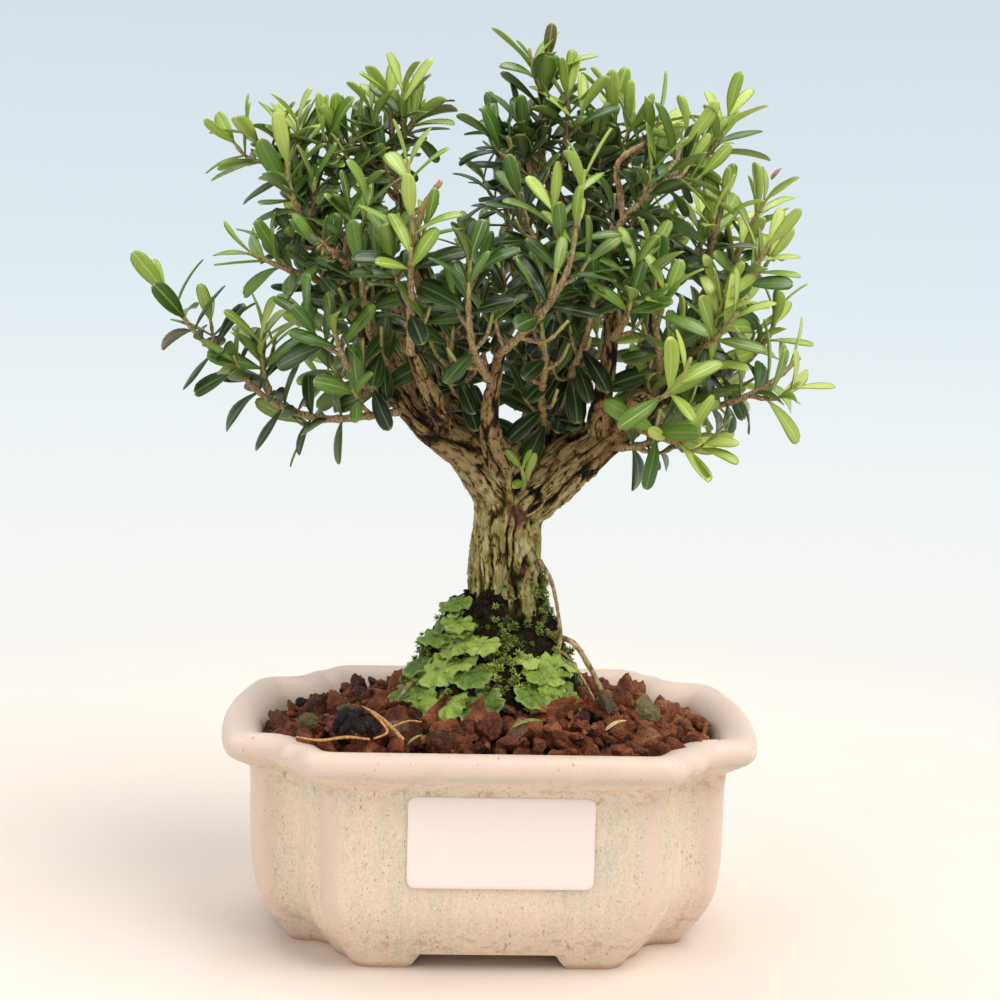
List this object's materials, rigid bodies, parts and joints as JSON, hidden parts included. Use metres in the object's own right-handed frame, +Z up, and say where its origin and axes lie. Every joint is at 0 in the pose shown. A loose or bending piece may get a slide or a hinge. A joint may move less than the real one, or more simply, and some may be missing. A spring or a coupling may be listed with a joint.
{
  "type": "harland boxwood bonsai",
  "caption": "Small indoor boxwood tree with corky trunk and a domed crown of spoon-shaped leaves, growing in a footed glazed ceramic pot with mossy lava soil.",
  "frame": {"origin": "middle of the underside of the whole plant, on the surface that the pot's feet stand on", "axes": "+Z up along the tree; -Y towards the long face of the pot that carries the label; +X to the right of that face"},
  "size_m": [0.1994, 0.138, 0.2604],
  "materials": {
    "glaze": "cream-beige glaze with blue-grey mottling and fine brown pits, thinner and pinkish on lip and ridges",
    "screen": "black plastic mesh",
    "label": "blank satin paper label",
    "lava": "rough red-brown crushed lava",
    "bark": "corky tan bark with deep dark furrows and green algae",
    "peat": "dark peat and plant fibre with star moss",
    "liverwort": "soft pale green lobed liverwort, slightly moist",
    "leaf": "glossy dark green leaves with paler midrib and underside",
    "young_leaf": "satin yellow-green new leaves"
  },
  "bodies": {
    "root": {"pot": "glaze", "drain_screen_left": "screen", "drain_screen_right": "screen", "label": "label", "soil": "lava", "trunk": "bark", "moss_mound": "peat", "liverwort_left": "liverwort", "liverwort_right": "liverwort", "shoot_left_low": "leaf", "shoot_left_front": "leaf", "shoot_left_outer_top": "leaf", "shoot_left_outer_front": "leaf", "shoot_left_crown": "leaf", "shoot_front_left_long": "leaf", "shoot_front_left_tip": "young_leaf", "shoot_front_middle": "leaf", "shoot_front_centre_long": "leaf", "shoot_front_centre_tip": "young_leaf", "shoot_apex": "leaf", "shoot_crown_front": "leaf", "shoot_crown_right": "leaf", "shoot_right_front_long": "leaf", "shoot_right_top": "leaf", "shoot_right_outer_top": "leaf", "shoot_right_outer": "leaf", "shoot_right_side": "leaf", "shoot_right_low": "leaf", "shoot_right_low_front": "leaf", "shoot_right_front_bright": "young_leaf", "shoot_crotch_sprout": "young_leaf", "shoot_left_inner_front": "leaf", "shoot_left_outer_low": "leaf", "shoot_left_middle": "leaf", "shoot_inner_front": "leaf", "shoot_centre_front": "leaf", "shoot_centre_right": "leaf", "shoot_upper_front": "leaf", "shoot_upper_right": "leaf", "shoot_right_inner_front": "leaf", "shoot_right_middle": "leaf", "shoot_back_left_outer": "leaf", "shoot_back_left_upper": "leaf", "shoot_back_left_top": "leaf", "shoot_back_left_low": "leaf", "shoot_back_inner_left": "leaf", "shoot_back_middle": "leaf", "shoot_back_top": "leaf", "shoot_back_right_inner": "leaf", "shoot_back_right_top": "leaf", "shoot_back_right_upper": "leaf", "shoot_back_right_outer": "leaf", "shoot_back_right_low": "leaf", "shoot_back_low": "leaf", "shoot_top_middle": "leaf", "shoot_top_left": "leaf"}
  },
  "joints": []
}
